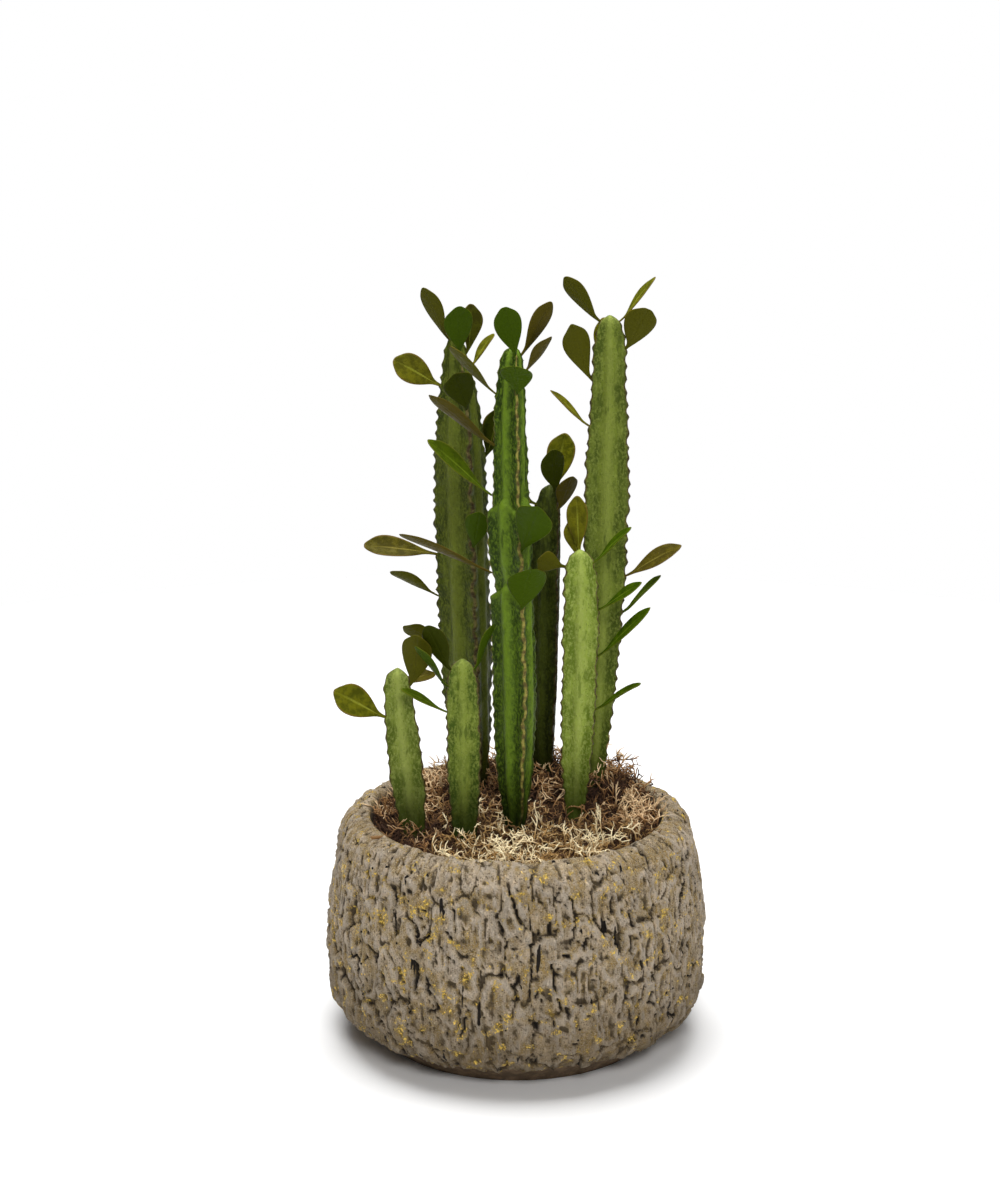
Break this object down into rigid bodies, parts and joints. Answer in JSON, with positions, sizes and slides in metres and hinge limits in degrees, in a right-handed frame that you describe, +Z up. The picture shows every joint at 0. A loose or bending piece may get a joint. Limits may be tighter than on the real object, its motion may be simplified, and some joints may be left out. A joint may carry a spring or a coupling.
{
  "type": "potted three-ribbed cactus-like succulent",
  "caption": "Upright three-ribbed succulent stems with small paddle leaves, growing in a round bark-textured cast bowl topped with dried moss.",
  "frame": {"origin": "centre of the pot's flat foot, on the surface that it stands on", "axes": "+Z up along the stems, +X to the right and -Y towards the viewer of the front side"},
  "size_m": [0.254, 0.254, 0.5185],
  "materials": {
    "cast_bark": "matte cast concrete moulded as tree bark, with worn gold flecks",
    "soil": "dark crumbly potting mix",
    "moss_cream": "dried branching moss, cream to tan",
    "moss_brown": "dried branching moss, tan to brown",
    "stem_pale": "satin young stem skin, pale green with marbling and brown rib edges",
    "stem_deep": "satin older stem skin, deep green with marbling and tan rib edges",
    "leaf_olive": "smooth satin leaf, olive",
    "leaf_green": "smooth satin leaf, fresh green",
    "leaf_dark": "smooth satin leaf, dark green",
    "leaf_brown": "smooth satin leaf, bronze brown"
  },
  "bodies": {
    "root": {"pot": "cast_bark", "soil": "soil", "moss_left": "moss_brown", "moss_front": "moss_cream", "moss_right": "moss_brown", "moss_back": "moss_brown", "stem_far_left": "stem_pale", "stem_left": "stem_pale", "stem_tall_left": "stem_deep", "stem_centre": "stem_deep", "stem_tall_right": "stem_deep", "stem_right_front": "stem_pale", "stem_back": "stem_deep", "leaf_far_left_1": "leaf_olive", "leaf_far_left_2": "leaf_olive", "leaf_far_left_3": "leaf_brown", "leaf_left_1": "leaf_green", "leaf_left_2": "leaf_green", "leaf_left_3": "leaf_dark", "leaf_left_4": "leaf_green", "leaf_tall_left_1": "leaf_olive", "leaf_tall_left_2": "leaf_green", "leaf_tall_left_3": "leaf_dark", "leaf_tall_left_4": "leaf_olive", "leaf_tall_left_5": "leaf_olive", "leaf_tall_left_6": "leaf_dark", "leaf_tall_left_7": "leaf_dark", "leaf_tall_left_8": "leaf_green", "leaf_tall_left_9": "leaf_brown", "leaf_tall_left_10": "leaf_olive", "leaf_tall_left_11": "leaf_olive", "leaf_centre_1": "leaf_olive", "leaf_centre_2": "leaf_brown", "leaf_centre_3": "leaf_green", "leaf_centre_4": "leaf_brown", "leaf_centre_5": "leaf_green", "leaf_centre_6": "leaf_brown", "leaf_centre_7": "leaf_brown", "leaf_centre_8": "leaf_green", "leaf_centre_9": "leaf_green", "leaf_centre_10": "leaf_green", "leaf_tall_right_1": "leaf_olive", "leaf_tall_right_2": "leaf_olive", "leaf_tall_right_3": "leaf_olive", "leaf_tall_right_4": "leaf_olive", "leaf_tall_right_5": "leaf_olive", "leaf_tall_right_6": "leaf_olive", "leaf_tall_right_7": "leaf_brown", "leaf_tall_right_8": "leaf_green", "leaf_right_front_1": "leaf_green", "leaf_right_front_2": "leaf_green", "leaf_right_front_3": "leaf_green", "leaf_right_front_4": "leaf_green", "leaf_right_front_5": "leaf_olive", "leaf_right_front_6": "leaf_olive", "leaf_right_front_7": "leaf_olive", "leaf_back_1": "leaf_dark", "leaf_back_2": "leaf_olive", "leaf_back_3": "leaf_brown", "leaf_back_4": "leaf_dark"}
  },
  "joints": []
}
